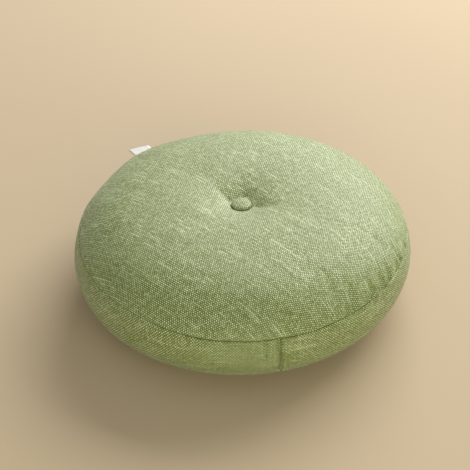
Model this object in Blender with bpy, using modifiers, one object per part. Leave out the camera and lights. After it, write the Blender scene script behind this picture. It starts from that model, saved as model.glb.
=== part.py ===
"""Round seat cushion: a boxed, filled cloth cushion with a covered button drawn into its top.

The cushion stands on Z = 0 with its centre on the Z axis, in metres. Its front is at -Y, and angles are
measured round the Z axis from the front towards +X.
"""

import math

import bpy

# Driving dimensions of the filled cover
WIDEST_RADIUS = 0.2137
WIDEST_HEIGHT = 0.0580
TOP_SEAM_RADIUS = 0.2084
TOP_SEAM_HEIGHT = 0.0856
LOWER_SEAM_RADIUS = 0.2010
LOWER_SEAM_HEIGHT = 0.0275
CROWN_HEIGHT = 0.1312
FLAT_RADIUS = 0.1450

# The crown is a superellipse from the top seam to the middle. The lower panel meets the floor in a soft curve
CROWN_FULLNESS = 5.1
CROWN_SHOULDER = 0.8
UNDER_CURVE = 1.45

# The seams are drawn in between the panels by this much
SEAM_GROOVE_DEPTH = 0.0020
SEAM_GROOVE_HALF_WIDTH = 0.0020

# The hollow round the button: a wide bowl, and a tight tuck at the button's edge
BUTTON_SEAT_RADIUS = 0.0110
BOWL_DEPTH = 0.0090
BOWL_REACH = 0.0700
BOWL_CURVE = 2.2
TUCK_DEPTH = 0.0027
TUCK_REACH = 0.0120

# The button and its hollow sit a little off the middle, which moves the cloth round them too
HOLLOW_CENTRE = (-0.0020, 0.0033)
HOLLOW_MOVES_WITHIN = 0.0500

# The cushion is a little longer from its front left to its back right
PLAN_STRETCH = 0.020
PLAN_STRETCH_ANGLE = math.radians(-26.6)

# Soft valleys that run out of the top hollow. Each one starts in the first part of its reach
HOLLOW_FOLDS = (
    # angle in degrees, depth, half width in degrees, reach
    {"angle": 60.0, "depth": 0.0024, "half_width": 26.0, "reach": 0.070},
    {"angle": 228.0, "depth": 0.0034, "half_width": 24.0, "reach": 0.078},
    {"angle": 318.0, "depth": 0.0008, "half_width": 26.0, "reach": 0.060},
)
FOLD_START = 0.25
FOLD_CURVE = 1.5

# The side band is closed by one upright seam, which pulls it in a little
BAND_JOIN_ANGLE = math.radians(12.5)
BAND_JOIN_HALF_WIDTH = math.radians(6.0)
BAND_JOIN_DEPTH = 0.0012
BAND_JOIN_OVERRUN = 1.3

# Covered button: a domed shell with a rolled edge
BUTTON_RADIUS = 0.0125
BUTTON_THICKNESS = 0.0058
BUTTON_EDGE_HEIGHT = 0.0022
BUTTON_EDGE_ROLL = 0.0002
BUTTON_BACK_RADIUS = 0.0095
BUTTON_DOME_CURVE = 0.75

# Folded white label, sewn into the top seam at the back left
LABEL_WIDTH = 0.0270
LABEL_LONG_SIDE = 0.0280
LABEL_SHORT_SIDE = 0.0195
LABEL_THICKNESS = 0.0010
LABEL_ANGLE = math.radians(217.3)
LABEL_RISE = math.radians(2.0)
LABEL_ROOT_GAP = 0.0013

# Touching pieces keep this much air between them
GAP = 0.0003

# How finely the round shapes are stepped. The hollow's rows spread outwards, and the shoulder's rows
# start where they end
CUSHION_STEPS = 72
BUTTON_STEPS = 32
HOLLOW_ROWS = 9
HOLLOW_SPREAD = 1.7
SHOULDER_START = 0.72
SHOULDER_ROWS = 8
BAND_ROWS = 8
UNDER_ROWS = 5
FLAT_ROWS = 2
DOME_ROWS = 5
MERGE_DISTANCE = 0.00001


def fade(distance, reach, power):
    """One at no distance, and smoothly nothing at reach and beyond."""
    share = min(max(distance / reach, 0.0), 1.0)
    return (1.0 - share) ** power


def soft_step(share):
    """A smooth change from 0 to 1."""
    share = min(max(share, 0.0), 1.0)
    return share * share * (3.0 - 2.0 * share)


def hollow_depth(radius):
    """How far the cloth is pulled in by the button, at this radius."""
    from_button = max(radius - BUTTON_SEAT_RADIUS, 0.0)
    tuck = TUCK_DEPTH * (1.0 - soft_step(from_button / TUCK_REACH))
    return BOWL_DEPTH * fade(from_button, BOWL_REACH, BOWL_CURVE) + tuck


def crown_height(radius):
    """The height of the top panel at this radius."""
    share = min(radius / TOP_SEAM_RADIUS, 1.0)
    dome = (1.0 - share**CROWN_FULLNESS) ** CROWN_SHOULDER
    rise = CROWN_HEIGHT - TOP_SEAM_HEIGHT
    return TOP_SEAM_HEIGHT + rise * dome - hollow_depth(radius)


def hollow_radii():
    """Radii from the middle outwards, close together at the button's edge."""
    middle = [0.0, BUTTON_SEAT_RADIUS / 2.0]
    outer = TOP_SEAM_RADIUS * SHOULDER_START
    steps = [(row / HOLLOW_ROWS) ** HOLLOW_SPREAD for row in range(HOLLOW_ROWS + 1)]
    return middle + [BUTTON_SEAT_RADIUS + (outer - BUTTON_SEAT_RADIUS) * step for step in steps]


def shoulder_radii():
    """Radii from the crown's flat part to the top seam, close together at the seam."""
    first = math.asin(SHOULDER_START ** (CROWN_FULLNESS / 2.0))
    turns = [first + (math.pi / 2.0 - first) * row / SHOULDER_ROWS for row in range(1, SHOULDER_ROWS + 1)]
    return [TOP_SEAM_RADIUS * math.sin(turn) ** (2.0 / CROWN_FULLNESS) for turn in turns]


def top_panel_profile():
    """Profile points of the top panel, from the middle to just above the seam's groove."""
    points = [(radius, crown_height(radius)) for radius in hollow_radii() + shoulder_radii()]
    groove_top = TOP_SEAM_HEIGHT + SEAM_GROOVE_HALF_WIDTH
    return [point for point in points if point[1] > groove_top]


def band_radius(height):
    """The radius of the side band at this height: fullest at one height, and curving in to both seams."""
    if height > WIDEST_HEIGHT:
        share = (height - WIDEST_HEIGHT) / (TOP_SEAM_HEIGHT - WIDEST_HEIGHT)
        return WIDEST_RADIUS - (WIDEST_RADIUS - TOP_SEAM_RADIUS) * share**2
    share = (WIDEST_HEIGHT - height) / (WIDEST_HEIGHT - LOWER_SEAM_HEIGHT)
    return WIDEST_RADIUS - (WIDEST_RADIUS - LOWER_SEAM_RADIUS) * share**2


def band_profile():
    """Profile points of the side band, from under the top seam down to over the lower one."""
    upper = TOP_SEAM_HEIGHT - SEAM_GROOVE_HALF_WIDTH
    lower = LOWER_SEAM_HEIGHT + SEAM_GROOVE_HALF_WIDTH
    heights = [upper + (lower - upper) * row / BAND_ROWS for row in range(BAND_ROWS + 1)]
    return [(band_radius(height), height) for height in heights]


def groove_profile(radius, height):
    """The one point at the bottom of a seam's groove."""
    return [(radius - SEAM_GROOVE_DEPTH, height)]


def under_profile():
    """Profile points of the lower panel where it rolls from its seam down to the floor."""
    points = []
    start = 1.0 - SEAM_GROOVE_HALF_WIDTH / (LOWER_SEAM_RADIUS - FLAT_RADIUS)
    for row in range(UNDER_ROWS + 1):
        share = start * (1.0 - row / UNDER_ROWS)
        radius = FLAT_RADIUS + (LOWER_SEAM_RADIUS - FLAT_RADIUS) * share
        points.append((radius, LOWER_SEAM_HEIGHT * share**UNDER_CURVE))
    return points


def underside_profile():
    """Profile points of the flat underside, which stands on the floor."""
    return [(FLAT_RADIUS * (1.0 - row / FLAT_ROWS), 0.0) for row in range(1, FLAT_ROWS + 1)]


def turned(name, profile, steps):
    """An object with a profile turned round the Z axis by a Screw modifier.

    The profile runs from top to bottom.
    """
    mesh = bpy.data.meshes.new(name)
    points = [(radius, 0.0, height) for radius, height in profile]
    edges = [(index, index + 1) for index in range(len(points) - 1)]
    mesh.from_pydata(points, edges, [])
    piece = bpy.data.objects.new(name, mesh)
    screw = piece.modifiers.new("Turn", "SCREW")
    screw.axis = "Z"
    screw.angle = math.tau
    screw.steps = steps
    screw.render_steps = steps
    screw.use_merge_vertices = True
    screw.merge_threshold = MERGE_DISTANCE
    screw.use_smooth_shade = True
    return piece


def angle_apart(first, second):
    """The difference of two angles, from 0 to half a turn."""
    return abs((first - second + math.pi) % math.tau - math.pi)


def plan_factor(angle):
    """How much the outline is stretched at this angle."""
    return 1.0 + PLAN_STRETCH * math.cos(2.0 * (angle - PLAN_STRETCH_ANGLE))


def fold_depth(radius, angle):
    """How far the soft folds of the top hollow lie below its plain turned form."""
    depth = 0.0
    for fold in HOLLOW_FOLDS:
        apart = math.degrees(angle_apart(angle, math.radians(fold["angle"])))
        across = 1.0 - soft_step(apart / fold["half_width"])
        out = radius - BUTTON_SEAT_RADIUS
        starts = soft_step(out / (FOLD_START * fold["reach"]))
        depth += fold["depth"] * across * starts * fade(out, fold["reach"], FOLD_CURVE)
    return depth


def join_depth(height, angle):
    """How far the band's upright join pulls it in."""
    across = 1.0 - soft_step(angle_apart(angle, BAND_JOIN_ANGLE) / BAND_JOIN_HALF_WIDTH)
    band_middle = (TOP_SEAM_HEIGHT + LOWER_SEAM_HEIGHT) / 2.0
    band_half = (TOP_SEAM_HEIGHT - LOWER_SEAM_HEIGHT) / 2.0
    along = fade(abs(height - band_middle), band_half * BAND_JOIN_OVERRUN, 1.0)
    return BAND_JOIN_DEPTH * across * along


def hollow_shift(radius):
    """How much of the hollow's move off the middle the cloth at this radius takes part in."""
    return 1.0 - soft_step((radius - HOLLOW_MOVES_WITHIN) / (TOP_SEAM_RADIUS - HOLLOW_MOVES_WITHIN))


def settle(mesh):
    """Moves a turned cushion's points to the uneven form in which the filled cover lies."""
    for vertex in mesh.vertices:
        x, y, z = vertex.co
        radius = math.hypot(x, y)
        angle = math.atan2(x, -y)
        shift = 0.0
        if z > TOP_SEAM_HEIGHT:
            z -= fold_depth(radius, angle)
            shift = hollow_shift(radius)
        elif z > LOWER_SEAM_HEIGHT:
            radius -= join_depth(z, angle)
        radius *= plan_factor(angle)
        x = radius * math.sin(angle) + shift * HOLLOW_CENTRE[0]
        y = -radius * math.cos(angle) + shift * HOLLOW_CENTRE[1]
        vertex.co = (x, y, z)


def solid_mesh(piece):
    """A plain mesh of the piece with its modifiers applied."""
    bpy.context.view_layer.update()
    graph = bpy.context.evaluated_depsgraph_get()
    return bpy.data.meshes.new_from_object(piece.evaluated_get(graph))


def cloth_material(name, colour, roughness):
    """A matt cloth of one colour."""
    material = bpy.data.materials.new(name)
    material.use_nodes = True
    shader = material.node_tree.nodes["Principled BSDF"]
    shader.inputs["Base Color"].default_value = (*colour, 1.0)
    shader.inputs["Roughness"].default_value = roughness
    shader.inputs["Metallic"].default_value = 0.0
    return material


def make_cushion(collection, material):
    """The filled cover: top panel, side band and lower panel round one filling, as one solid."""
    profile = top_panel_profile()
    profile += groove_profile(TOP_SEAM_RADIUS, TOP_SEAM_HEIGHT)
    profile += band_profile()
    profile += groove_profile(LOWER_SEAM_RADIUS, LOWER_SEAM_HEIGHT)
    profile += under_profile()
    profile += underside_profile()
    form = turned("cushion_form", profile, CUSHION_STEPS)
    collection.objects.link(form)
    mesh = solid_mesh(form)
    bpy.data.objects.remove(form)
    settle(mesh)
    mesh.name = "cushion"
    cushion = bpy.data.objects.new("cushion", mesh)
    mesh.shade_smooth()
    mesh.materials.clear()
    mesh.materials.append(material)
    collection.objects.link(cushion)
    return cushion


def button_profile():
    """A covered button from the top of its dome to the middle of its flat back, which is at Z = 0."""
    rise = BUTTON_THICKNESS - BUTTON_EDGE_HEIGHT
    dome = []
    for row in range(DOME_ROWS + 1):
        turn = math.pi / 2.0 * row / DOME_ROWS
        height = BUTTON_EDGE_HEIGHT + rise * math.cos(turn) ** BUTTON_DOME_CURVE
        dome.append((BUTTON_RADIUS * math.sin(turn), height))
    edge = [(BUTTON_RADIUS - BUTTON_EDGE_ROLL, BUTTON_EDGE_HEIGHT / 2.0), (BUTTON_BACK_RADIUS, 0.0)]
    return dome + edge + [(0.0, 0.0)]


def make_button(collection, material):
    """The covered button, whose back lies on the cloth at the bottom of the hollow."""
    button = turned("top_button", button_profile(), BUTTON_STEPS)
    button.location = (*HOLLOW_CENTRE, crown_height(0.0) + GAP)
    button.data.materials.append(material)
    collection.objects.link(button)
    return button


def label_outline():
    """The label seen from above: it is sewn in askew, so one side shows more than the other."""
    half = LABEL_WIDTH / 2.0
    return [(0.0, -half), (LABEL_SHORT_SIDE, -half), (LABEL_LONG_SIDE, half), (0.0, half)]


def make_label(collection, material):
    """The white label: its outline extruded to its thickness, standing straight out of the seam's groove."""
    curve = bpy.data.curves.new("side_label", "CURVE")
    curve.dimensions = "2D"
    curve.fill_mode = "BOTH"
    curve.extrude = LABEL_THICKNESS / 2.0
    outline = label_outline()
    spline = curve.splines.new("POLY")
    spline.points.add(len(outline) - 1)
    for point, (x, y) in zip(spline.points, outline):
        point.co = (x, y, 0.0, 1.0)
    spline.use_cyclic_u = True
    label = bpy.data.objects.new("side_label", curve)
    groove = (TOP_SEAM_RADIUS - SEAM_GROOVE_DEPTH) * plan_factor(LABEL_ANGLE)
    start = groove + LABEL_ROOT_GAP
    label.location = (start * math.sin(LABEL_ANGLE), -start * math.cos(LABEL_ANGLE), TOP_SEAM_HEIGHT)
    label.rotation_euler = (0.0, -LABEL_RISE, LABEL_ANGLE - math.pi / 2.0)
    curve.materials.append(material)
    collection.objects.link(label)
    return label


def main():
    for item in list(bpy.data.objects):
        bpy.data.objects.remove(item)
    collection = bpy.data.collections.new("round_seat_cushion")
    bpy.context.scene.collection.children.link(collection)
    green_cloth = cloth_material("green_cloth", (0.37, 0.43, 0.20), 0.92)
    button_cloth = cloth_material("button_cloth", (0.40, 0.46, 0.23), 0.92)
    white_tape = cloth_material("white_tape", (0.86, 0.87, 0.84), 0.70)
    make_cushion(collection, green_cloth)
    make_button(collection, button_cloth)
    make_label(collection, white_tape)


if __name__ == "__main__":
    main()
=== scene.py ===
"""Round seat cushion in green slub linen: the filled cover, its covered button and its white side label.

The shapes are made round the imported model, in metres, with the cushion standing on Z = 0. Its front is at -Y,
and angles are measured round the Z axis from the front towards +X.
"""

import math

import bpy
import mathutils
import numpy as np
from bpy.props import FloatProperty, FloatVectorProperty, IntProperty, PointerProperty
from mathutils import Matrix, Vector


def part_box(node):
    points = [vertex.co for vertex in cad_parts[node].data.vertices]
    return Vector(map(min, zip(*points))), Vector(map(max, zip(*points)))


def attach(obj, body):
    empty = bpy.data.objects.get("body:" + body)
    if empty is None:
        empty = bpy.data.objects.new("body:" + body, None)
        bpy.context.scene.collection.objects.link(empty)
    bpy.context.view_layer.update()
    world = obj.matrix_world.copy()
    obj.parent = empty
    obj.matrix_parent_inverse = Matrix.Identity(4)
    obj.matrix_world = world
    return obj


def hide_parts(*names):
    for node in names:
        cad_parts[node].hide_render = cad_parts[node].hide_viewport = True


bl_info = {
    "name": "Round Seat Cushion",
    "version": (1, 0, 0),
    "blender": (4, 5, 0),
    "location": "3D View > Sidebar > Cushion",
    "description": "Makes a round boxed seat cushion in slub linen, with a covered button and a side label",
    "category": "Object",
}

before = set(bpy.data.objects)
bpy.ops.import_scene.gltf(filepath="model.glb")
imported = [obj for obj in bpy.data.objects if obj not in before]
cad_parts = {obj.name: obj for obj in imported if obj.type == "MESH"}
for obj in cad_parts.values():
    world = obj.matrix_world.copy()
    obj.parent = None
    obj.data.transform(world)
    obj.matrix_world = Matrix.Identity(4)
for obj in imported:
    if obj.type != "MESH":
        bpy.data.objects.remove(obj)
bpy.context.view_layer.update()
BUTTON_LOW, BUTTON_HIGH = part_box("top_button")
MM = 0.001
BUTTON_PLACE = np.array([0.5 * (low + high) for low, high in zip(BUTTON_LOW[:2], BUTTON_HIGH[:2])])
BAND_JOIN = math.radians(11.5)

# The top panel's profile: how full it is, how round its shoulder, and the radius at which it starts
TOP_FULLNESS = 5.1
TOP_SHOULDER = 0.8
UNDER_BUTTON = 6.0 * MM

# Gaps between the cover's rows of faces: plain ones, and fine ones beside the seams and the button
TOP_ROW_GAP = 3.0 * MM
BAND_ROW_GAP = 3.4 * MM
FINE_ROW_GAP = 0.45 * MM

# Where the top seam climbs, in degrees, and how far the rows beside it go with it
CLIMB = {"first": 190.0, "rise": 60.0, "last": 352.0, "fall": 30.0}
CLIMB_REACH = 34.0 * MM

# Seed of the seams' unevenness, the small puckers and the swells
SEED = 11

# Numbers of small puckers along each edge that is sewn
TOP_PUCKERS = 92
BAND_PUCKERS = 84

# The cloth simulation: its frames, its largest move, its grid, and how far from the button it sets in
SETTLING_FRAMES = 20
SETTLING_CAP = 2.5 * MM
SETTLING_COLUMNS = 300
SETTLING_ROW_GAP = 3.0 * MM
SETTLING_START = 24.0 * MM
SETTLING_BLEND = 56.0 * MM

# Lie of the weave on the top panel: how each set of yarns slants and bends, and its spacing in pitches
TOP_WARP = {"slant": 0.966, "bend": 0.80, "spacing": 1.91}
TOP_WEFT = {"slant": -1.09, "bend": 0.15, "spacing": 1.233}

# Weave of the side band: its stretch down the band, and the radius at which its yarns are counted round
BAND_WEAVE_DOWN = 0.94
BAND_WEAVE_RADIUS = 0.201

# How far each cause makes a yarn paler, from 0 to 1, and how quickly the wide patches change
SLUB_TONE = 0.12
OWN_TONE = 0.07
TURN_ABOUT_TONE = 0.10
SPUN_TONE = 0.09
WARP_TONE = 0.56
WEFT_TONE = -0.04
CROSSING_TONE = 0.34
PATCH_TONE = 0.04
PATCH_SCALE = 14.0

# How quickly slubs and thick and thin places change along a yarn, and the stride that keeps two yarns unlike
SLUB_RUN = 0.034
SPUN_RUN = 0.9
YARN_STRIDE = 7.31

# How far the yarns wander, in pitches, and how quickly, how full they look, and how much a slub lifts one
WANDER = 1.1
WANDER_SCALE = 18.0
YARN_FULLNESS = 0.6
SLUB_LIFT = 0.30

# The label's tape: its place round the seam, its flat sizes, and how it is sewn in
LABEL_ANGLE = math.radians(217.9)
LABEL_WIDTH = 26.8 * MM
LABEL_LONG_SIDE = 27.6 * MM
LABEL_SHORT_SIDE = 19.1 * MM
LABEL_THICKNESS = 0.34 * MM
LABEL_GAP = 0.2 * MM
LABEL_INSIDE_SEAM = 0.6 * MM
LABEL_SLOPE = 0.03

# Ribs along the tape and threads across it, in radians a metre
TAPE_RIBS = 9000.0
TAPE_THREADS = 7000.0

# The stage, in metres, with the camera's slope in degrees and its lens in mm
FLOOR_HALF_SIDE = 6.0
FLOOR_DROP = 0.3 * MM
LAMP_TARGET = (0.0, 0.0, 0.08)
AIR_COLOUR = (1.0, 0.99, 0.96, 1.0)
AIR_STRENGTH = 0.335
CAMERA_PLACE = (-0.01004, -1.43661, 1.18314)
CAMERA_DOWN = 37.6
CAMERA_LENS = 110.45


def table(names, *rows):
    """Rows of numbers under the names of their columns."""
    return [dict(zip(names, row)) for row in rows]


# The wide, soft lamps: sizes and places in metres, power in watts
LAMPS = table(
    ("name", "size", "power", "colour", "place"),
    ("window", (3.2, 1.9), 166.0, (1.0, 0.99, 0.96), (1.35, 2.5, 1.75)),
    ("fill", (3.4, 1.0), 35.0, (1.0, 0.97, 0.72), (0.5, -2.35, 1.0)),
)

# Valleys that the button's thread pulls into the top panel
BUTTON_FOLDS = table(
    # angle and bend in degrees, depth, half width and reach in mm
    ("angle", "bend", "depth", "half_width", "reach"),
    (235.0, -17.0, 5.2, 16.0, 78.0),
    (75.0, -11.0, 4.2, 14.0, 68.0),
    (318.0, 8.0, 0.8, 12.0, 56.0),
    (176.0, 0.0, 5.4, 30.0, 68.0),
)

# Gathers where the top panel is eased into its seam, deepest at the front right
GATHERS = table(
    # angle and lean in degrees, length, depth and half width in mm
    ("angle", "lean", "length", "depth", "half_width"),
    (21.5, 1.0, 20.0, 0.5, 2.6),
    (27.0, 1.5, 24.0, 0.8, 2.6),
    (31.5, 1.0, 14.0, 0.9, 2.2),
    (35.4, 2.0, 24.0, 2.0, 2.4),
    (38.9, 2.5, 42.0, 5.2, 3.8),
    (44.6, 2.0, 18.0, 1.0, 2.0),
    (48.2, 2.5, 29.0, 4.8, 3.6),
    (54.4, 1.5, 24.0, 4.0, 3.2),
    (59.6, 2.0, 29.0, 4.6, 3.5),
    (65.0, 1.0, 16.0, 1.0, 2.4),
    (70.0, 2.5, 28.0, 4.4, 3.4),
    (78.5, 1.5, 22.0, 2.8, 3.5),
    (88.0, 2.0, 24.0, 1.6, 3.4),
    (98.0, 1.0, 24.0, 0.7, 3.0),
    (4.0, 1.0, 14.0, 0.5, 2.6),
    (12.5, 1.0, 16.0, 0.9, 2.8),
    (330.0, -1.0, 16.0, 0.4, 3.2),
    (300.0, 0.0, 14.0, 0.3, 3.0),
    (217.0, 0.0, 18.0, 0.7, 5.0),
)

# The side band's upright join, the creases beside it, and two shallow ones further round
BAND_CREASES = table(
    # angle in degrees, depth, half width and lean in mm, and the stretch of the band that it crosses,
    # from 0 at the top seam to 1 at the lower one
    ("angle", "depth", "half_width", "lean", "from", "to"),
    (11.6, 4.0, 2.1, 1.4, 0.0, 1.0),
    (11.4, 1.6, 4.6, 1.4, 0.0, 1.0),
    (6.9, 3.2, 2.3, 0.8, 0.0, 0.42),
    (13.6, 1.9, 2.2, 4.5, 0.5, 1.0),
    (8.6, 0.6, 2.2, -3.0, 0.35, 0.95),
    (54.0, 0.5, 5.0, 4.0, 0.0, 0.8),
    (292.0, 0.5, 6.0, -3.0, 0.2, 1.0),
)

# Places where the filling pushes the cover out
LUMPS = table(
    # angle and half width in degrees, distance in from the top seam, half length and height in mm
    ("angle", "half_width", "inside", "half_length", "height"),
    (222.0, 15.0, 10.0, 26.0, 4.6),
    (259.0, 9.0, 4.0, 24.0, 1.6),
)

# Sides where the seams are less drawn in
FLATTER_SIDES = table(
    # angle and half width in degrees
    ("angle", "half_width"),
    (112.0, 44.0),
    (292.0, 36.0),
)

# How much closer together the cover's columns stand in some sectors
COLUMN_SECTORS = table(
    # first and last angle in degrees, extra columns for each plain one
    ("first", "last", "extra"),
    (18.0, 102.0, 2.0),
    (4.0, 17.0, 3.6),
)


class CushionSizes(bpy.types.PropertyGroup):
    """Driving sizes of the filled cover, its seams and its small pieces."""

    widest_radius: FloatProperty(
        name="Widest radius",
        description="Radius of the side band at its fullest",
        default=0.2137,
        unit="LENGTH",
    )
    widest_height: FloatProperty(
        name="Widest height",
        description="Height at which the side band is fullest",
        default=0.058,
        unit="LENGTH",
    )
    top_seam_radius: FloatProperty(
        name="Top seam radius",
        description="Radius of the seam round the top panel",
        default=0.2084,
        unit="LENGTH",
    )
    top_seam_height: FloatProperty(
        name="Top seam height",
        description="Height of the seam round the top panel",
        default=0.0856,
        unit="LENGTH",
    )
    lower_seam_radius: FloatProperty(
        name="Lower seam radius",
        description="Radius of the seam round the lower panel",
        default=0.2016,
        unit="LENGTH",
    )
    lower_seam_height: FloatProperty(
        name="Lower seam height",
        description="Height of the seam round the lower panel",
        default=0.0268,
        unit="LENGTH",
    )
    crown_height: FloatProperty(
        name="Crown height",
        description="Height that the top panel would have without its button",
        default=0.1312,
        unit="LENGTH",
    )
    flat_radius: FloatProperty(
        name="Flat radius",
        description="Radius of the flat patch that stands on the floor",
        default=0.145,
        unit="LENGTH",
    )
    plan_stretch: FloatProperty(
        name="Plan stretch",
        description="How far the outline is from a true circle",
        default=0.02,
        subtype="FACTOR",
    )
    plan_stretch_angle: FloatProperty(
        name="Plan stretch angle",
        description="Direction in which the outline is longest",
        default=math.radians(-26.6),
        subtype="ANGLE",
    )
    bowl_depth: FloatProperty(
        name="Hollow depth",
        description="Depth of the wide hollow round the button",
        default=0.0091,
        unit="LENGTH",
    )
    bowl_reach: FloatProperty(
        name="Hollow reach",
        description="How far the wide hollow runs from the button",
        default=0.070,
        unit="LENGTH",
    )
    tuck_depth: FloatProperty(
        name="Tuck depth",
        description="Depth of the tight tuck at the button's edge",
        default=0.0027,
        unit="LENGTH",
    )
    tuck_reach: FloatProperty(
        name="Tuck reach",
        description="How far the tight tuck runs from the button",
        default=0.012,
        unit="LENGTH",
    )
    seam_depth: FloatProperty(
        name="Seam depth",
        description="Depth of the groove at each seam",
        default=0.0023,
        unit="LENGTH",
    )
    seam_width: FloatProperty(
        name="Seam width",
        description="Half width of the groove at each seam",
        default=0.0009,
        unit="LENGTH",
    )
    seam_climb: FloatProperty(
        name="Seam climb",
        description="How far the top seam climbs at the left side",
        default=0.0050,
        unit="LENGTH",
    )
    yarn_pitch: FloatProperty(
        name="Yarn pitch",
        description="Distance from one yarn of the weave to the next",
        default=0.00168,
        unit="LENGTH",
    )
    columns: IntProperty(
        name="Columns",
        description="Columns of faces round the cover",
        default=540,
        min=96,
    )


class CushionColours(bpy.types.PropertyGroup):
    """Colours of the cloth, the label and the floor."""

    yarn: FloatVectorProperty(
        name="Yarn",
        description="Main green of the linen yarn",
        subtype="COLOR",
        size=3,
        default=(0.295, 0.36, 0.085),
    )
    light_yarn: FloatVectorProperty(
        name="Slub",
        description="Pale green of the slubs",
        subtype="COLOR",
        size=3,
        default=(0.76, 0.87, 0.55),
    )
    # The darkest yarns' own green, which is also painted into the gaps between the yarns as shade
    dark_yarn_and_gap_shade: FloatVectorProperty(
        name="Deep yarn",
        description="Green between the yarns",
        subtype="COLOR",
        size=3,
        default=(0.065, 0.095, 0.006),
    )
    tape: FloatVectorProperty(
        name="Tape",
        description="White of the label",
        subtype="COLOR",
        size=3,
        default=(0.88, 0.88, 0.86),
    )
    floor: FloatVectorProperty(
        name="Floor",
        description="Pale colour of the floor",
        subtype="COLOR",
        size=3,
        default=(0.56, 0.445, 0.305),
    )


def soft_step(share):
    """A smooth change from 0 to 1."""
    share = np.clip(share, 0.0, 1.0)
    return share * share * (3.0 - 2.0 * share)


def fade(distance, reach, power):
    """One at no distance, and smoothly nothing at reach and beyond."""
    return (1.0 - np.clip(distance / reach, 0.0, 1.0)) ** power


def hump(distance, half_width):
    """A smooth hump, 1 in its middle."""
    return np.exp(-((distance / half_width) ** 2))


def turn_between(angle, middle):
    """The signed turn from the middle angle to each angle, in radians."""
    return (angle - middle + math.pi) % math.tau - math.pi


def plan_factor(sizes, angle):
    """How much the outline is stretched at each angle."""
    return 1.0 + sizes.plan_stretch * np.cos(2.0 * (angle - sizes.plan_stretch_angle))


def resample(radius, height, gaps):
    """Points of a dense line at even shares of its length, weighted by the gaps wished along it."""
    length = np.concatenate(([0.0], np.cumsum(np.hypot(np.diff(radius), np.diff(height)))))
    middles = 0.5 * (length[1:] + length[:-1])
    wish = np.concatenate(([0.0], np.cumsum(np.diff(length) / gaps(middles, length[-1]))))
    rows = max(int(round(wish[-1])), 2)
    at = np.interp(np.linspace(0.0, wish[-1], rows + 1), wish, length)
    return np.interp(at, length, radius), np.interp(at, length, height)


def near_ends(plain, fine, reach):
    """A rule for gaps along a line: plain in the middle and fine at both ends."""

    def gaps(at, length):
        edge = np.minimum(at, length - at)
        return fine + (plain - fine) * soft_step(edge / reach)

    return gaps


class Profile:
    """The turned profile, row by row from the button outwards and down to the middle of the underside."""

    def __init__(self, sizes):
        turn = np.linspace(0.0, math.pi / 2.0, 4000)
        rise = sizes.crown_height - sizes.top_seam_height
        radius = sizes.top_seam_radius * np.sin(turn) ** (2.0 / TOP_FULLNESS)
        height = sizes.top_seam_height + rise * np.cos(turn) ** (2.0 * TOP_SHOULDER)
        start = np.searchsorted(radius, UNDER_BUTTON)
        line = (radius[start:], height[start:])
        top = resample(*line, near_ends(TOP_ROW_GAP, FINE_ROW_GAP, 14.0 * MM))

        height = np.linspace(sizes.top_seam_height, sizes.lower_seam_height, 2000)
        upper_part = sizes.top_seam_height - sizes.widest_height
        lower_part = sizes.widest_height - sizes.lower_seam_height
        above = np.clip((height - sizes.widest_height) / upper_part, 0.0, 1.0)
        below = np.clip((sizes.widest_height - height) / lower_part, 0.0, 1.0)
        radius = sizes.widest_radius - (sizes.widest_radius - sizes.top_seam_radius) * above**2
        radius -= (sizes.widest_radius - sizes.lower_seam_radius) * below**2
        band = resample(radius, height, near_ends(BAND_ROW_GAP, FINE_ROW_GAP, 10.0 * MM))

        share = np.linspace(1.0, 0.0, 2000)
        radius = sizes.flat_radius + (sizes.lower_seam_radius - sizes.flat_radius) * share
        height = sizes.lower_seam_height * share**1.45
        patch = np.linspace(sizes.flat_radius, 4.0 * MM, 400)[1:]
        radius = np.concatenate((radius, patch))
        height = np.concatenate((height, np.zeros_like(patch)))
        finest, more, reach = 0.6, 13.0, 70.0 * MM
        lower = resample(radius, height, lambda at, length: (finest + more * soft_step(at / reach)) * MM)

        self.radius = np.concatenate((top[0], band[0][1:], lower[0][1:]))
        self.height = np.concatenate((top[1], band[1][1:], lower[1][1:]))
        self.top_seam = len(top[0]) - 1
        self.lower_seam = self.top_seam + len(band[0]) - 1
        steps = np.hypot(np.diff(self.radius), np.diff(self.height))
        self.along = np.concatenate(([0.0], np.cumsum(steps))) + self.radius[0]
        self.from_top_seam = self.along - self.along[self.top_seam]
        self.from_lower_seam = self.along - self.along[self.lower_seam]
        band_length = self.along[self.lower_seam] - self.along[self.top_seam]
        self.band_share = self.from_top_seam / band_length


def column_angles(count):
    """Angles of the cover's columns from the band's join, denser where the cover is gathered or joined."""
    fine = np.linspace(0.0, math.tau, 7201)
    around = (fine + BAND_JOIN) % math.tau
    weight = np.ones_like(fine)
    for sector in COLUMN_SECTORS:
        first, last = math.radians(sector["first"]), math.radians(sector["last"])
        edge = math.radians(3.0)
        weight += sector["extra"] * soft_step((around - first) / edge) * soft_step((last - around) / edge)
    total = np.concatenate(([0.0], np.cumsum(0.5 * (weight[1:] + weight[:-1]))))
    return BAND_JOIN + np.interp(np.arange(count) / count * total[-1], total, fine)


def climbing(sizes, profile, angle):
    """Radius and height of each grid point. The seam and the rows near it climb at the left side."""
    turn = np.degrees(angle) % 360.0
    rising = soft_step((turn - CLIMB["first"]) / CLIMB["rise"])
    side = rising * soft_step((CLIMB["last"] - turn) / CLIMB["fall"])
    near = hump(profile.from_top_seam, CLIMB_REACH)
    at = profile.along[:, None] - sizes.seam_climb * near[:, None] * side[None, :]
    lines = (profile.radius, profile.height)
    return tuple(np.interp(at.ravel(), profile.along, line).reshape(at.shape) for line in lines)


def surface(radius, height, angle, sizes):
    """Grid points of the turned profile, stretched in plan. Rows follow the profile, columns the angles."""
    reach = radius * plan_factor(sizes, angle)[None, :]
    return np.stack((reach * np.sin(angle)[None, :], -reach * np.cos(angle)[None, :], height), -1)


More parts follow.
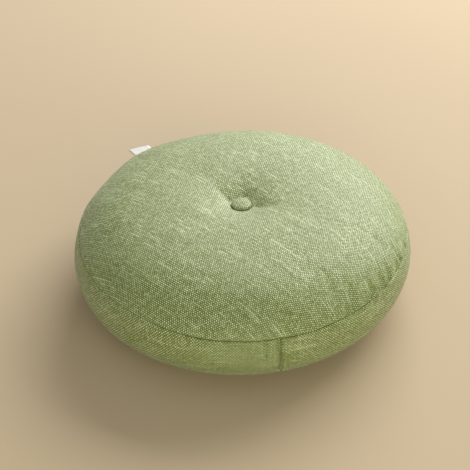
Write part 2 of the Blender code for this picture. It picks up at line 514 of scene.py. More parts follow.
def draw_to_button(sizes, points, profile, rows):
    """Moves the top panel's rows sideways with the button, which sits a little off the middle."""
    calm = 50.0 * MM
    share = 1.0 - soft_step((profile.radius[rows] - calm) / (sizes.top_seam_radius - calm))
    points[rows, :, :2] += share[:, None, None] * BUTTON_PLACE


def grid_normals(points):
    """Outward normals of a grid whose columns close in a ring."""
    down = np.gradient(points, axis=0)
    round_the_ring = np.roll(points, -1, axis=1) - np.roll(points, 1, axis=1)
    normal = np.cross(down, round_the_ring)
    return normal / np.maximum(np.linalg.norm(normal, axis=2, keepdims=True), 1e-12)


def hollow(sizes, radius, angle):
    """How far the button draws the top panel down: a bowl, a tuck with a roll beside it, and a few folds."""
    seat = 11.0 * MM
    out = np.maximum(radius - seat, 0.0)[:, None]
    bowl = sizes.bowl_depth * fade(out, sizes.bowl_reach, 2.8)
    tuck = sizes.tuck_depth * (1.0 - soft_step(out / sizes.tuck_reach))
    roll_height, roll_place, roll_half_width = 1.9 * MM, 5.0 * MM, 2.7 * MM
    facing = 0.8 + 0.2 * np.cos(angle - math.radians(330.0))
    depth = bowl + tuck - roll_height * hump(out - roll_place, roll_half_width) * facing[None, :]
    for fold in BUTTON_FOLDS:
        bent = math.radians(fold["angle"]) + math.radians(fold["bend"]) * out / (fold["reach"] * MM)
        turn = turn_between(angle[None, :], bent)
        across = np.abs(np.sin(turn)) * radius[:, None]
        across = np.where(np.cos(turn) > 0.0, across, 1.0)
        wide = (fold["half_width"] * MM) * (0.55 + 0.9 * out / (fold["reach"] * MM))
        crease = np.exp(-np.sqrt(across**2 + (2.0 * MM) ** 2) / wide)
        start = soft_step(out / (9.0 * MM))
        depth += fold["depth"] * MM * crease * start * fade(out, fold["reach"] * MM, 1.3)
    return depth


def seam_grooves(sizes, profile, angle, rng):
    """How far both seams are drawn in, a little unevenly round the cushion."""
    turns = len(angle)
    unevenness, shallower = 0.09, 0.75
    dip_depth, dip_half_width = 0.25 * MM, 4.0 * MM
    uneven = np.ones(turns)
    for waves in (5, 9, 14, 23, 37):
        uneven += unevenness * np.cos(waves * angle + rng.uniform(0.0, math.tau))
    sides = np.zeros(turns)
    for side in FLATTER_SIDES:
        turn = turn_between(angle, math.radians(side["angle"]))
        sides = np.maximum(sides, hump(turn, math.radians(side["half_width"])))
    grooves = np.zeros((len(profile.along), turns))
    for distance in (profile.from_top_seam, profile.from_lower_seam):
        drawn = sizes.seam_depth * hump(distance[:, None], sizes.seam_width) * uneven[None, :]
        grooves += drawn * (1.0 - shallower * sides[None, :])
        grooves += dip_depth * hump(distance[:, None], dip_half_width) * uneven[None, :]
    return grooves


def gather(distance, turn, radius, crease):
    """One gather beside a seam, steep on one flank and slow on the other. It fades away from the seam."""
    lean = math.radians(crease["lean"]) * distance / (crease["length"] * MM)
    across = (turn - lean) * radius
    share = np.clip(distance / (crease["length"] * MM), 0.0, 1.0)
    wide = crease["half_width"] * MM * (0.8 + 0.9 * share)
    steep, slow = 0.6 * wide, 1.5 * wide
    dip = hump(across, np.where(across < 0.0, steep, slow))
    roll = 0.30 * hump(across + 1.7 * wide, 0.9 * wide) + 0.16 * hump(across - 3.2 * wide, 1.2 * wide)
    along = soft_step(distance / (2.5 * MM)) * (1.0 - share) ** 1.1
    return crease["depth"] * MM * (dip - roll) * along


def add_puckers(depth, distance, angle, radius, count, lengths, depths, rng):
    """Adds the small puckers that a sewn edge has all round. Their lengths and depths are ranges in mm."""
    for number in range(count):
        small = {
            "lean": rng.uniform(-1.5, 1.5),
            "length": rng.uniform(*lengths),
            "depth": rng.uniform(*depths),
            "half_width": rng.uniform(1.9, 3.4),
        }
        middle = math.tau * (number + rng.uniform(-0.38, 0.38)) / count
        turn = turn_between(angle, middle)[None, :]
        depth += gather(distance, turn, radius, small)


def gathers(sizes, profile, angle, rng):
    """All gathers of the top panel, and the small puckers that every sewn edge has."""
    rows = slice(0, profile.top_seam + 1)
    distance = -profile.from_top_seam[rows][:, None]
    depth = np.zeros((len(profile.along), len(angle)))
    for crease in GATHERS:
        turn = turn_between(angle, math.radians(crease["angle"]))[None, :]
        depth[rows] += gather(distance, turn, sizes.top_seam_radius, crease)
    radius = sizes.top_seam_radius
    add_puckers(depth[rows], distance, angle, radius, TOP_PUCKERS, (7.0, 17.0), (0.08, 0.32), rng)
    return depth


def band_puckers(sizes, profile, angle, rng):
    """The band's upright join with the creases beside it, and small puckers under both seams."""
    rows = slice(profile.top_seam, profile.lower_seam + 1)
    share = profile.band_share[rows][:, None]
    depth = np.zeros((len(profile.along), len(angle)))
    for crease in BAND_CREASES:
        turn = turn_between(angle, math.radians(crease["angle"]))[None, :]
        across = turn * sizes.widest_radius - crease["lean"] * MM * (share - 0.5)
        starts = soft_step((share - crease["from"] + 0.08) / 0.16)
        ends = soft_step((crease["to"] + 0.08 - share) / 0.16)
        depth[rows] += crease["depth"] * MM * hump(across, crease["half_width"] * MM) * (starts * ends)
    radius = sizes.top_seam_radius
    for distance in (profile.from_top_seam[rows][:, None], -profile.from_lower_seam[rows][:, None]):
        add_puckers(depth[rows], distance, angle, radius, BAND_PUCKERS, (6.0, 15.0), (0.06, 0.24), rng)
    return depth


def slow_unevenness(profile, angle, rng):
    """Wide, shallow swells where the filling lies unevenly, in metres along the normal."""
    swell = np.zeros((len(profile.along), len(angle)))
    total = profile.along[-1]
    swells = 26
    for _ in range(swells):
        waves = rng.integers(1, 8)
        rows = rng.uniform(1.0, 6.0)
        phase, tilt = rng.uniform(0.0, math.tau, 2)
        down = np.cos(math.tau * rows * profile.along[:, None] / total + tilt)
        wave = np.cos(waves * angle[None, :] + phase) * down
        swell += rng.uniform(0.05, 0.16) * MM * wave
    calm = soft_step(profile.radius / (60.0 * MM)) * (profile.height > 0.5 * MM)
    swell *= calm[:, None]
    for lump in LUMPS:
        turn = turn_between(angle, math.radians(lump["angle"]))[None, :]
        along = (profile.from_top_seam + lump["inside"] * MM)[:, None]
        round_it = hump(turn, math.radians(lump["half_width"])) * hump(along, lump["half_length"] * MM)
        swell += lump["height"] * MM * round_it
    return swell


def settled(points, profile):
    """How each point of a coarse cover moves when the cloth is blown up and settles."""
    rows, turns = points.shape[:2]
    mesh = grid_mesh("settling_cover", points)
    cover = bpy.data.objects.new("settling_cover", mesh)
    bpy.context.scene.collection.objects.link(cover)
    held = cover.vertex_groups.new(name="held")
    slack = cover.vertex_groups.new(name="slack")
    angle = np.arange(turns) / turns * math.tau
    seam_hold, button_hold, floor_hold = 1.5 * MM, 16.0 * MM, 0.3 * MM
    slack_reach, slack_middle, slack_width = 26.0 * MM, math.radians(66.0), math.radians(32.0)
    for row in range(rows):
        near_seam = min(abs(profile.from_top_seam[row]), abs(profile.from_lower_seam[row]))
        ring = list(range(row * turns, (row + 1) * turns))
        if near_seam < seam_hold or profile.radius[row] < button_hold or profile.height[row] < floor_hold:
            held.add(ring, 1.0, "REPLACE")
        eased = math.exp(-((near_seam / slack_reach) ** 2))
        for column, vertex in enumerate(ring):
            side = math.exp(-((turn_between(angle[column], slack_middle) / slack_width) ** 2))
            slack.add([vertex], eased * (0.35 + 0.65 * side), "REPLACE")
    held.add([rows * turns, rows * turns + 1], 1.0, "REPLACE")
    cloth = cover.modifiers.new("Cloth", "CLOTH")
    settings = cloth.settings
    settings.quality = 6
    settings.mass = 0.25
    settings.tension_stiffness = 22.0
    settings.compression_stiffness = 22.0
    settings.shear_stiffness = 8.0
    settings.bending_stiffness = 0.35
    settings.use_pressure = True
    settings.uniform_pressure_force = 4.0
    settings.vertex_group_mass = "held"
    settings.vertex_group_shrink = "slack"
    settings.shrink_min = 0.0
    settings.shrink_max = -0.035
    settings.effector_weights.gravity = 0.0
    cloth.collision_settings.use_collision = False
    cloth.point_cache.frame_start = 1
    cloth.point_cache.frame_end = SETTLING_FRAMES
    scene = bpy.context.scene
    for number in range(1, SETTLING_FRAMES + 1):
        scene.frame_set(number)
    blown = cover.evaluated_get(bpy.context.evaluated_depsgraph_get()).to_mesh()
    flat = np.empty(len(blown.vertices) * 3)
    blown.vertices.foreach_get("co", flat)
    moves = flat.reshape(-1, 3)[: rows * turns].reshape(rows, turns, 3) - points
    bpy.data.objects.remove(cover)
    bpy.data.meshes.remove(mesh)
    scene.frame_set(1)
    return moves


def ring_quads(rows, turns):
    """The faces between the rows of a grid whose columns close in a ring."""
    row, column = np.meshgrid(np.arange(rows - 1), np.arange(turns), indexing="ij")
    after = (column + 1) % turns
    here, below = row * turns, (row + 1) * turns
    return np.stack((here + column, below + column, below + after, here + after), -1).reshape(-1, 4)


def grid_mesh(name, points):
    """A closed mesh from a grid whose columns close in a ring. A fan of faces caps each end."""
    rows, turns = points.shape[:2]
    ends = points[[0, -1]].mean(axis=1)
    ends[1, 2] = points[-1, 0, 2]
    places = np.concatenate((points.reshape(-1, 3), ends))
    quads = ring_quads(rows, turns)
    around = np.arange(turns)
    after = (around + 1) % turns
    last = (rows - 1) * turns
    first_cap = np.stack((np.full(turns, rows * turns), around, after), -1)
    last_cap = np.stack((np.full(turns, rows * turns + 1), last + after, last + around), -1)
    mesh = bpy.data.meshes.new(name)
    mesh.from_pydata(places.tolist(), [], quads.tolist() + first_cap.tolist() + last_cap.tolist())
    return mesh


def smoothed(values, passes):
    """A grid of numbers with its columns in a ring, softened a little in both directions."""
    for _ in range(passes):
        values = 0.25 * (np.roll(values, 1, axis=1) + np.roll(values, -1, axis=1)) + 0.5 * values
        inner = 0.25 * (values[:-2] + values[2:]) + 0.5 * values[1:-1]
        values = np.concatenate((values[:1], inner, values[-1:]))
    return values


def coarse_rows(profile, gap):
    """Rows of the profile that stand at least this far apart, with both seams among them."""
    kept = []
    for row, along in enumerate(profile.along):
        seam = row in (profile.top_seam, profile.lower_seam)
        if seam:
            kept = [other for other in kept if along - profile.along[other] > 0.6 * gap]
        if seam or not kept or along - profile.along[kept[-1]] >= gap:
            kept.append(row)
    return np.array(kept)


class PartOfProfile:
    """Some rows of a profile, for the coarse cover that settles."""

    def __init__(self, profile, rows):
        for name in ("radius", "height", "along", "from_top_seam", "from_lower_seam"):
            setattr(self, name, getattr(profile, name)[rows])


def settling(sizes, profile, angle):
    """How far the blown-up cloth moves each point of the fine grid in or out, less its even swelling."""
    rows = coarse_rows(profile, SETTLING_ROW_GAP)
    part = PartOfProfile(profile, rows)
    even = np.arange(SETTLING_COLUMNS) / SETTLING_COLUMNS * math.tau
    points = surface(part.radius[:, None], part.height[:, None] + 0.0 * even, even, sizes)
    top = rows <= profile.top_seam
    points[top, :, 2] -= hollow(sizes, part.radius[top], even)
    moves = settled(points, part)
    out = np.sum(moves * grid_normals(points), axis=2)
    out -= out.mean(axis=1, keepdims=True)
    out = np.clip(out, -SETTLING_CAP, SETTLING_CAP)
    ringed = np.concatenate((out, out[:, :1]), axis=1)
    at_columns = np.stack([np.interp(angle % math.tau, np.append(even, math.tau), row) for row in ringed])
    at_rows = np.stack([np.interp(profile.along, part.along, column) for column in at_columns.T], axis=1)
    free = soft_step((profile.radius - SETTLING_START) / SETTLING_BLEND)
    return smoothed(at_rows, 3) * free[:, None]


def face_corners(points, after):
    """The corners of each face of a grid, from its points and the points of the next column."""
    return np.stack((points[:-1], points[1:], after[1:], after[:-1]), 2)


def weave_map(mesh, profile, angle):
    """Lays the weave on each panel, as the UV map Weave. Each yarn is one pitch wide on that map."""
    flat = profile.along[:, None]
    x, y = flat * np.sin(angle)[None, :], -flat * np.cos(angle)[None, :]
    warp = (y + TOP_WARP["slant"] * x + TOP_WARP["bend"] * x**2) / TOP_WARP["spacing"]
    weft = (y + TOP_WEFT["slant"] * x + TOP_WEFT["bend"] * x * y) / TOP_WEFT["spacing"]
    top = np.stack((warp, weft), -1)
    back = profile.along[-1] + profile.radius[-1] - flat
    lower = np.stack((back * np.sin(angle)[None, :] + 7.0, back * np.cos(angle)[None, :]), -1)
    down = np.repeat(BAND_WEAVE_DOWN * profile.from_top_seam[:, None] + 3.0, len(angle), 1)
    around = np.repeat((angle[None, :] - BAND_JOIN) * BAND_WEAVE_RADIUS, len(profile.along), 0)
    band = np.stack((down, around), -1)
    step = np.diff(np.append(angle, angle[0] + math.tau)) * BAND_WEAVE_RADIUS
    rows = len(profile.along) - 1
    corners = np.empty((rows, len(angle), 4, 2))
    for first, last, sheet in ((0, profile.top_seam, top), (profile.lower_seam, rows, lower)):
        nearby, after = sheet[first : last + 1], np.roll(sheet[first : last + 1], -1, axis=1)
        corners[first:last] = face_corners(nearby, after)
    first, last = profile.top_seam, profile.lower_seam
    nearby = band[first : last + 1]
    after = nearby + np.stack((np.zeros_like(step), step), -1)[None, :, :]
    corners[first:last] = face_corners(nearby, after)
    cap = np.zeros((2 * len(angle) * 3, 2))
    layer = mesh.uv_layers.new(name="Weave")
    layer.data.foreach_set("uv", np.concatenate((corners.reshape(-1, 2), cap)).astype(np.float32).ravel())


def finish_mesh(piece, material):
    """Shades a piece smooth and gives it its one material."""
    piece.data.shade_smooth()
    piece.data.materials.append(material)
    bpy.context.scene.collection.objects.link(piece)


class Nodes:
    """A short way to add nodes to a material and join them."""

    def __init__(self, name):
        self.material = bpy.data.materials.new(name)
        self.material.use_nodes = True
        self.tree = self.material.node_tree
        self.tree.nodes.clear()
        self.column = 0

    def add(self, kind, inputs=(), **settings):
        """Adds a node, sets it up, and fills its inputs with numbers or with other nodes' sockets."""
        node = self.tree.nodes.new(kind)
        for name, value in settings.items():
            setattr(node, name, value)
        for name, value in dict(inputs).items():
            socket = node.inputs[name]
            if isinstance(value, bpy.types.NodeSocket):
                self.tree.links.new(value, socket)
            else:
                socket.default_value = value
        node.location = (180.0 * self.column, 0.0)
        self.column += 1
        return node

    def math(self, operation, first, second=0.0, clamp=False):
        """One number from two."""
        node = self.add("ShaderNodeMath", operation=operation, use_clamp=clamp, inputs={0: first, 1: second})
        return node.outputs[0]

    def span(self, value, low, high, to_low=0.0, to_high=1.0):
        """A number moved from one range to another, with soft ends."""
        inputs = {"Value": value, "From Min": low, "From Max": high, "To Min": to_low, "To Max": to_high}
        return self.add("ShaderNodeMapRange", interpolation_type="SMOOTHSTEP", inputs=inputs).outputs[0]

    def vector(self, x, y, z=0.0):
        """Three numbers as one vector."""
        return self.add("ShaderNodeCombineXYZ", inputs={0: x, 1: y, 2: z}).outputs[0]

    def noise(self, vector, scale, detail=2.0, roughness=0.5):
        """Soft random numbers from 0 to 1, from two coordinates."""
        inputs = {"Vector": vector, "Scale": scale, "Detail": detail, "Roughness": roughness}
        return self.add("ShaderNodeTexNoise", noise_dimensions="2D", inputs=inputs).outputs[0]

    def chance(self, vector):
        """A random number from 0 to 1 for each pair of coordinates."""
        inputs = {"Vector": vector}
        return self.add("ShaderNodeTexWhiteNoise", noise_dimensions="2D", inputs=inputs).outputs[0]

    def mix(self, share, first, second):
        """Two colours mixed. Each is another node's socket or three numbers."""
        inputs = {0: share, 6: first, 7: second}
        for name in (6, 7):
            if not isinstance(inputs[name], bpy.types.NodeSocket):
                inputs[name] = (*inputs[name], 1.0)
        return self.add("ShaderNodeMix", data_type="RGBA", inputs=inputs).outputs[2]


def yarn_tone(nodes, index, along, seed):
    """How pale one set of yarns is. Each yarn has its own tone, thick and thin places, and pale slubs."""
    across = nodes.math("ADD", nodes.math("MULTIPLY", index, YARN_STRIDE), seed)
    slow = nodes.vector(across, nodes.math("MULTIPLY", along, SLUB_RUN))
    slub = nodes.span(nodes.noise(slow, 1.0, 2.0), 0.60, 0.74)
    quick = nodes.vector(nodes.math("ADD", across, 31.7), nodes.math("MULTIPLY", along, SPUN_RUN))
    spun = nodes.span(nodes.noise(quick, 1.0, 1.0), 0.30, 0.70)
    own = nodes.chance(nodes.vector(index, seed))
    turn_about = nodes.math("PINGPONG", index, 1.0)
    tone = nodes.math("MULTIPLY", slub, SLUB_TONE)
    for cause, share in ((own, OWN_TONE), (turn_about, TURN_ABOUT_TONE), (spun, SPUN_TONE)):
        tone = nodes.math("ADD", tone, nodes.math("MULTIPLY", cause, share))
    return tone, slub


def linen(name, sizes, colours):
    """Plain-woven slub linen: two sets of yarns that cross, each yarn with its own tone and slubs, and painted
    shade in the gaps between the yarns.
    """
    nodes = Nodes(name)
    place = nodes.add("ShaderNodeUVMap", uv_map="Weave").outputs[0]
    apart = nodes.add("ShaderNodeSeparateXYZ", inputs={0: place})
    moved = {"Vector": place, "Location": (3.1, 5.7, 0.0)}
    elsewhere = nodes.add("ShaderNodeMapping", inputs=moved).outputs[0]
    waver = nodes.math("SUBTRACT", nodes.noise(place, WANDER_SCALE, 1.0), 0.5)
    other_waver = nodes.math("SUBTRACT", nodes.noise(elsewhere, WANDER_SCALE, 1.0), 0.5)
    count = 1.0 / sizes.yarn_pitch
    across = nodes.math("MULTIPLY", apart.outputs[0], count)
    across = nodes.math("ADD", across, nodes.math("MULTIPLY", waver, WANDER))
    along = nodes.math("MULTIPLY", apart.outputs[1], count)
    along = nodes.math("ADD", along, nodes.math("MULTIPLY", other_waver, WANDER))
    warp_index, weft_index = nodes.math("FLOOR", across), nodes.math("FLOOR", along)
    warp_tone, warp_slub = yarn_tone(nodes, warp_index, along, 11.0)
    weft_tone, weft_slub = yarn_tone(nodes, weft_index, across, 47.0)
    warp_tone = nodes.math("ADD", warp_tone, WARP_TONE)
    weft_tone = nodes.math("ADD", weft_tone, WEFT_TONE)

    warp_wave = nodes.math("SINE", nodes.math("MULTIPLY", across, math.pi))
    weft_wave = nodes.math("SINE", nodes.math("MULTIPLY", along, math.pi))
    over = nodes.math("MULTIPLY", warp_wave, weft_wave)
    warp_round = nodes.math("POWER", nodes.math("ABSOLUTE", warp_wave), YARN_FULLNESS)
    weft_round = nodes.math("POWER", nodes.math("ABSOLUTE", weft_wave), YARN_FULLNESS)
    warp_lift = nodes.math("MULTIPLY", over, 0.5)
    warp_lift = nodes.math("ADD", warp_lift, nodes.math("MULTIPLY", warp_slub, SLUB_LIFT))
    weft_lift = nodes.math("MULTIPLY", over, -0.5)
    weft_lift = nodes.math("ADD", weft_lift, nodes.math("MULTIPLY", weft_slub, SLUB_LIFT))
    warp_height = nodes.math("MULTIPLY", warp_round, nodes.math("ADD", warp_lift, 0.5))
    weft_height = nodes.math("MULTIPLY", weft_round, nodes.math("ADD", weft_lift, 0.5))
    height = nodes.math("MAXIMUM", warp_height, weft_height)
    warp_shows = nodes.span(nodes.math("SUBTRACT", warp_height, weft_height), -0.08, 0.08)

    crossing = nodes.chance(nodes.vector(warp_index, weft_index))
    shown = {0: warp_shows, 2: weft_tone, 3: warp_tone}
    tone = nodes.add("ShaderNodeMix", data_type="FLOAT", inputs=shown).outputs[0]
    crossing = nodes.math("SUBTRACT", crossing, 0.5)
    tone = nodes.math("ADD", tone, nodes.math("MULTIPLY", crossing, CROSSING_TONE))
    patches = nodes.math("SUBTRACT", nodes.noise(place, PATCH_SCALE, 2.0), 0.5)
    tone = nodes.math("ADD", tone, nodes.math("MULTIPLY", patches, PATCH_TONE), clamp=True)
    lower = nodes.mix(nodes.span(tone, 0.0, 0.5), tuple(colours.dark_yarn_and_gap_shade), tuple(colours.yarn))
    colour = nodes.mix(nodes.span(tone, 0.4, 1.0), lower, tuple(colours.light_yarn))
    # Painted shade: where the weave is low, between the yarns, the colour goes to the dark yarn green
    colour = nodes.mix(nodes.span(height, 0.10, 0.60), tuple(colours.dark_yarn_and_gap_shade), colour)

    fuzz = nodes.noise(nodes.vector(across, along), 3.1, 2.0)
    relief = nodes.math("ADD", height, nodes.math("MULTIPLY", fuzz, 0.25))
    bump = nodes.add("ShaderNodeBump", inputs={"Strength": 0.7, "Distance": 0.00042, "Height": relief})
    shader = nodes.add(
        "ShaderNodeBsdfPrincipled",
        inputs={
            "Base Color": colour,
            "Roughness": 0.50,
            "Specular IOR Level": 0.55,
            "Sheen Weight": 0.18,
            "Sheen Roughness": 0.45,
            "Sheen Tint": (0.93, 1.0, 0.92, 1.0),
            "Normal": bump.outputs[0],
        },
    )
    output = nodes.add("ShaderNodeOutputMaterial", inputs={"Surface": shader.outputs[0]})
    output.is_active_output = True
    return nodes.material


def tape(name, colours):
    """White woven tape: fine ribs across the strip, a little duller where soiled at random, with painted shade
    in the valleys between the ribs.
    """
    nodes = Nodes(name)
    place = nodes.add("ShaderNodeUVMap", uv_map="Weave").outputs[0]
    apart = nodes.add("ShaderNodeSeparateXYZ", inputs={0: place})
    rib_wave = nodes.math("SINE", nodes.math("MULTIPLY", apart.outputs[0], TAPE_RIBS))
    thread_wave = nodes.math("SINE", nodes.math("MULTIPLY", apart.outputs[1], TAPE_THREADS))
    height = nodes.math("MULTIPLY", rib_wave, thread_wave)
    # The tape goes duller where it is soiled at random, and painted shade darkens it a little in the valleys
    # between its ribs and threads
    soil = nodes.noise(place, 160.0, 3.0)
    shade = nodes.span(nodes.math("ADD", nodes.math("MULTIPLY", height, 0.08), soil), 0.2, 0.8)
    soiled_and_rib_shaded_white = tuple(0.9 * part for part in colours.tape)
    colour = nodes.mix(shade, soiled_and_rib_shaded_white, tuple(colours.tape))
    bump = nodes.add("ShaderNodeBump", inputs={"Strength": 0.4, "Distance": 0.00012, "Height": height})
    shader = nodes.add(
        "ShaderNodeBsdfPrincipled",
        inputs={"Base Color": colour, "Roughness": 0.62, "Sheen Weight": 0.15, "Normal": bump.outputs[0]},
    )
    nodes.add("ShaderNodeOutputMaterial", inputs={"Surface": shader.outputs[0]})
    return nodes.material


def floor_finish(name, colours):
    """A plain pale matt floor with the faintest unevenness of tone."""
    nodes = Nodes(name)
    place = nodes.add("ShaderNodeTexCoord").outputs["Object"]
    cloud = nodes.noise(place, 3.0, 3.0)
    darker = tuple(0.97 * part for part in colours.floor)
    colour = nodes.mix(cloud, darker, tuple(colours.floor))
    shader = nodes.add("ShaderNodeBsdfPrincipled", inputs={"Base Color": colour, "Roughness": 0.9})
    nodes.add("ShaderNodeOutputMaterial", inputs={"Surface": shader.outputs[0]})
    return nodes.material


class CUSHION_OT_make_cover(bpy.types.Operator):
    """Make the filled cover: both panels and the side band, with seams, gathers and the button's hollow"""

    bl_idname = "cushion.make_cover"
    bl_label = "Make Cover"

    def execute(self, context):
        sizes, colours = context.scene.cushion_sizes, context.scene.cushion_colours
        rng = np.random.default_rng(SEED)
        profile = Profile(sizes)
        angle = column_angles(sizes.columns)
        points = surface(*climbing(sizes, profile, angle), angle, sizes)
        top = slice(0, profile.top_seam + 1)
        points[top, :, 2] -= hollow(sizes, profile.radius[top], angle)
        draw_to_button(sizes, points, profile, top)
        moves = -seam_grooves(sizes, profile, angle, rng)
        moves -= gathers(sizes, profile, angle, rng)
        moves -= band_puckers(sizes, profile, angle, rng)
        moves += slow_unevenness(profile, angle, rng)
        moves += settling(sizes, profile, angle)
        moves *= (profile.height > 0.0)[:, None]
        points = points + moves[:, :, None] * grid_normals(points)
        points[:, :, 2] = np.maximum(points[:, :, 2], 0.0)
        mesh = grid_mesh("cushion_cover", points)
        weave_map(mesh, profile, angle)
        cover = bpy.data.objects.new("cushion_cover", mesh)
        finish_mesh(cover, linen("slub_linen", sizes, colours))
        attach(cover, "root")
        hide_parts("cushion")
        return {"FINISHED"}


class CUSHION_OT_make_button(bpy.types.Operator):
    """Make the covered button that sits in the hollow"""

    bl_idname = "cushion.make_button"
    bl_label = "Make Button"

    def execute(self, context):
        sizes, colours = context.scene.cushion_sizes, context.scene.cushion_colours
        radius = 0.5 * (BUTTON_HIGH[0] - BUTTON_LOW[0])
        thickness = BUTTON_HIGH[2] - BUTTON_LOW[2]
        turn = np.linspace(0.02, math.pi / 2.0, 26)
        edge = 0.36 * thickness
        pleat_count, pleat_depth, slant = 17.0, 0.22 * MM, 0.10 * MM
        dome = np.stack((radius * np.sin(turn), edge + (thickness - edge) * np.cos(turn) ** 0.72), -1)
        under = np.linspace(0.0, math.pi / 2.0, 9)[1:]
        roll = np.stack((radius - 2.6 * MM * (1.0 - np.cos(under)), edge * (1.0 - np.sin(under))), -1)
        line = np.concatenate((dome, roll, [(0.5 * radius, 0.0), (0.6 * MM, 0.0)]))
        angle = np.arange(112) / 112.0 * math.tau
        reach = np.repeat(line[:, :1], len(angle), 1)
        height = np.repeat(line[:, 1:], len(angle), 1)
        pleats = 0.5 + 0.5 * np.cos(pleat_count * angle + 1.3 * np.sin(3.0 * angle))
        near_edge = soft_step((line[:, 0] / radius - 0.9) / 0.1) * (line[:, 1] < edge * 1.2)
        reach -= pleat_depth * pleats[None, :] * near_edge[:, None]
        outwards = (line[:, :1] / radius) * (line[:, 1:] > 0.0)
        height -= slant * np.cos(2.0 * angle + 0.6)[None, :] * outwards
        x, y = BUTTON_PLACE[0] + reach * np.sin(angle), BUTTON_PLACE[1] - reach * np.cos(angle)
        points = np.stack((x, y, height + BUTTON_LOW[2]), -1)
        mesh = grid_mesh("covered_button", points)
        length = np.concatenate(([0.0], np.cumsum(np.hypot(*np.diff(line, axis=0).T))))
        cut, grain = 1.3, angle + 0.5
        flat = np.stack((length[:, None] * np.sin(grain), length[:, None] * np.cos(grain)), -1) + cut
        after = np.roll(flat, -1, axis=1)
        corners = face_corners(flat, after).reshape(-1, 2)
        layer = mesh.uv_layers.new(name="Weave")
        caps = np.full((2 * len(angle) * 3, 2), cut)
        layer.data.foreach_set("uv", np.concatenate((corners, caps)).astype(np.float32).ravel())
        button = bpy.data.objects.new("covered_button", mesh)
        finish_mesh(button, linen("button_linen", sizes, colours))
        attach(button, "root")
        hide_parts("top_button")
        return {"FINISHED"}


def folded_tape(width, long_side, short_side, thickness, gap):
    """Both faces of a tape folded double. Its rows run out from the seam, round the fold and back."""
    across = np.linspace(-0.5, 0.5, 15)
    out = np.linspace(0.0, 1.0, 22)
    fold = np.linspace(0.0, math.pi, 9)[1:-1]
    bend = 0.5 * (thickness + gap)
    reach = short_side + (long_side - short_side) * (across + 0.5)
    upper = [(reach * share, bend) for share in out]
    turned = [(reach + bend * math.sin(turn), bend * math.cos(turn)) for turn in fold]
    lower = [(reach * share, -bend) for share in out[::-1]]
    line = upper + turned + lower
    x = np.stack([row[0] for row in line])
    z = np.stack([np.full(len(across), row[1]) for row in line])
    share = x / long_side
    curl = 0.9 * MM * share**2 * np.cos(2.2 * across + 0.4) - 1.1 * MM * share * (across + 0.1)
    middle = np.stack((x, np.repeat(width * across[None, :], len(x), 0), z + curl), -1)
    normal = np.cross(np.gradient(middle, axis=1), np.gradient(middle, axis=0))
    normal /= np.linalg.norm(normal, axis=2, keepdims=True)
    return middle + 0.5 * thickness * normal, middle - 0.5 * thickness * normal


def strip_mesh(name, width, outer, inner):
    """A closed strip from its two faces, with the tape's own length and width as its UV map."""
    rows, columns = outer.shape[:2]
    ring = np.concatenate((outer, inner[:, ::-1]), axis=1)
    turns = 2 * columns
    quads = ring_quads(rows, turns)[:, ::-1]
    column = np.arange(columns - 1)
    end = np.stack((column, column + 1, turns - 2 - column, turns - 1 - column), -1)
    last = (rows - 1) * turns + end[:, ::-1]
    faces = np.concatenate((quads, end, last))
    mesh = bpy.data.meshes.new(name)
    mesh.from_pydata(ring.reshape(-1, 3).tolist(), [], faces.tolist())
    steps = np.linalg.norm(np.diff(outer[:, columns // 2], axis=0), axis=1)
    length = np.concatenate(([0.0], np.cumsum(steps)))
    wide = np.concatenate((np.arange(columns), np.arange(columns)[::-1])) / (columns - 1.0)
    flat = np.stack((np.repeat(length[:, None], turns, 1), np.repeat(width * wide[None, :], rows, 0)), -1)
    flat = flat.reshape(-1, 2)
    layer = mesh.uv_layers.new(name="Weave")
    layer.data.foreach_set("uv", flat[faces.ravel()].astype(np.float32).ravel())
    return mesh


class CUSHION_OT_make_label(bpy.types.Operator):
    """Make the bare white label, a tape folded double and sewn into the top seam"""

    bl_idname = "cushion.make_label"
    bl_label = "Make Label"

    def execute(self, context):
        sizes, colours = context.scene.cushion_sizes, context.scene.cushion_colours
        faces = folded_tape(LABEL_WIDTH, LABEL_LONG_SIDE, LABEL_SHORT_SIDE, LABEL_THICKNESS, LABEL_GAP)
        root = (sizes.top_seam_radius - LABEL_INSIDE_SEAM) * float(plan_factor(sizes, LABEL_ANGLE))
        turn = LABEL_ANGLE - math.pi / 2.0
        cosine, sine = math.cos(turn), math.sin(turn)
        placed = []
        for face in faces:
            out, aside = face[..., 0] + root, face[..., 1]
            up = sizes.top_seam_height + face[..., 2] + LABEL_SLOPE * face[..., 0]
            placed.append(np.stack((out * cosine - aside * sine, out * sine + aside * cosine, up), -1))
        label = bpy.data.objects.new("folded_label", strip_mesh("folded_label", LABEL_WIDTH, *placed))
        finish_mesh(label, tape("white_tape", colours))
        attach(label, "root")
        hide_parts("side_label")
        return {"FINISHED"}


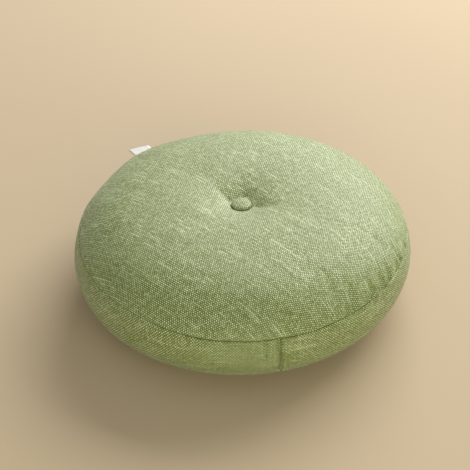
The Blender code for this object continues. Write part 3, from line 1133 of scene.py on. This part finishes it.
class CUSHION_OT_make_stage(bpy.types.Operator):
    """Make the pale floor, the soft light and the camera at the photo's angle"""

    bl_idname = "cushion.make_stage"
    bl_label = "Make Stage"

    def execute(self, context):
        scene, colours = context.scene, context.scene.cushion_colours
        mesh = bpy.data.meshes.new("studio_floor")
        side, height = FLOOR_HALF_SIDE, -FLOOR_DROP
        places = [(x * side, y * side, height) for x, y in ((-1, -1), (1, -1), (1, 1), (-1, 1))]
        mesh.from_pydata(places, [], [(0, 1, 2, 3)])
        floor = bpy.data.objects.new("studio_floor", mesh)
        mesh.materials.append(floor_finish("pale_floor", colours))
        scene.collection.objects.link(floor)

        for lamp in LAMPS:
            self.hang(scene, lamp)

        world = bpy.data.worlds.new("studio_air")
        world.use_nodes = True
        background = world.node_tree.nodes["Background"]
        background.inputs["Color"].default_value = AIR_COLOUR
        background.inputs["Strength"].default_value = AIR_STRENGTH
        scene.world = world
        scene.view_settings.view_transform = "Standard"

        camera = bpy.data.cameras.new("camera")
        camera.sensor_width = 36.0
        camera.lens = CAMERA_LENS
        eye = bpy.data.objects.new("camera", camera)
        eye.location = CAMERA_PLACE
        eye.rotation_euler = (math.radians(90.0 - CAMERA_DOWN), 0.0, 0.0)
        scene.collection.objects.link(eye)
        scene.camera = eye
        return {"FINISHED"}

    def hang(self, scene, lamp):
        """Hangs a wide, soft lamp in its place and turns it to the cushion."""
        light = bpy.data.lights.new(lamp["name"], "AREA")
        light.shape = "RECTANGLE"
        light.size, light.size_y = lamp["size"]
        light.energy = lamp["power"]
        light.color = lamp["colour"]
        holder = bpy.data.objects.new(lamp["name"], light)
        holder.location = lamp["place"]
        towards = mathutils.Vector(LAMP_TARGET) - mathutils.Vector(lamp["place"])
        holder.rotation_euler = towards.to_track_quat("-Z", "Y").to_euler()
        scene.collection.objects.link(holder)


class CUSHION_PT_panel(bpy.types.Panel):
    """Lists the sizes, the colours and the steps that make the cushion"""

    bl_idname = "CUSHION_PT_panel"
    bl_label = "Round Seat Cushion"
    bl_space_type = "VIEW_3D"
    bl_region_type = "UI"
    bl_category = "Cushion"

    def draw(self, context):
        layout = self.layout
        for step in STEPS:
            layout.operator(step.bl_idname)
        for group in (context.scene.cushion_sizes, context.scene.cushion_colours):
            box = layout.box()
            for name in group.__annotations__:
                box.prop(group, name)


STEPS = (CUSHION_OT_make_cover, CUSHION_OT_make_button, CUSHION_OT_make_label, CUSHION_OT_make_stage)
CLASSES = (CushionSizes, CushionColours, *STEPS, CUSHION_PT_panel)


def register():
    for kind in CLASSES:
        bpy.utils.register_class(kind)
    bpy.types.Scene.cushion_sizes = PointerProperty(type=CushionSizes)
    bpy.types.Scene.cushion_colours = PointerProperty(type=CushionColours)


def unregister():
    del bpy.types.Scene.cushion_colours
    del bpy.types.Scene.cushion_sizes
    for kind in reversed(CLASSES):
        bpy.utils.unregister_class(kind)


def main():
    register()
    bpy.ops.cushion.make_stage()
    bpy.ops.cushion.make_cover()
    bpy.ops.cushion.make_button()
    bpy.ops.cushion.make_label()


if __name__ == "__main__":
    main()
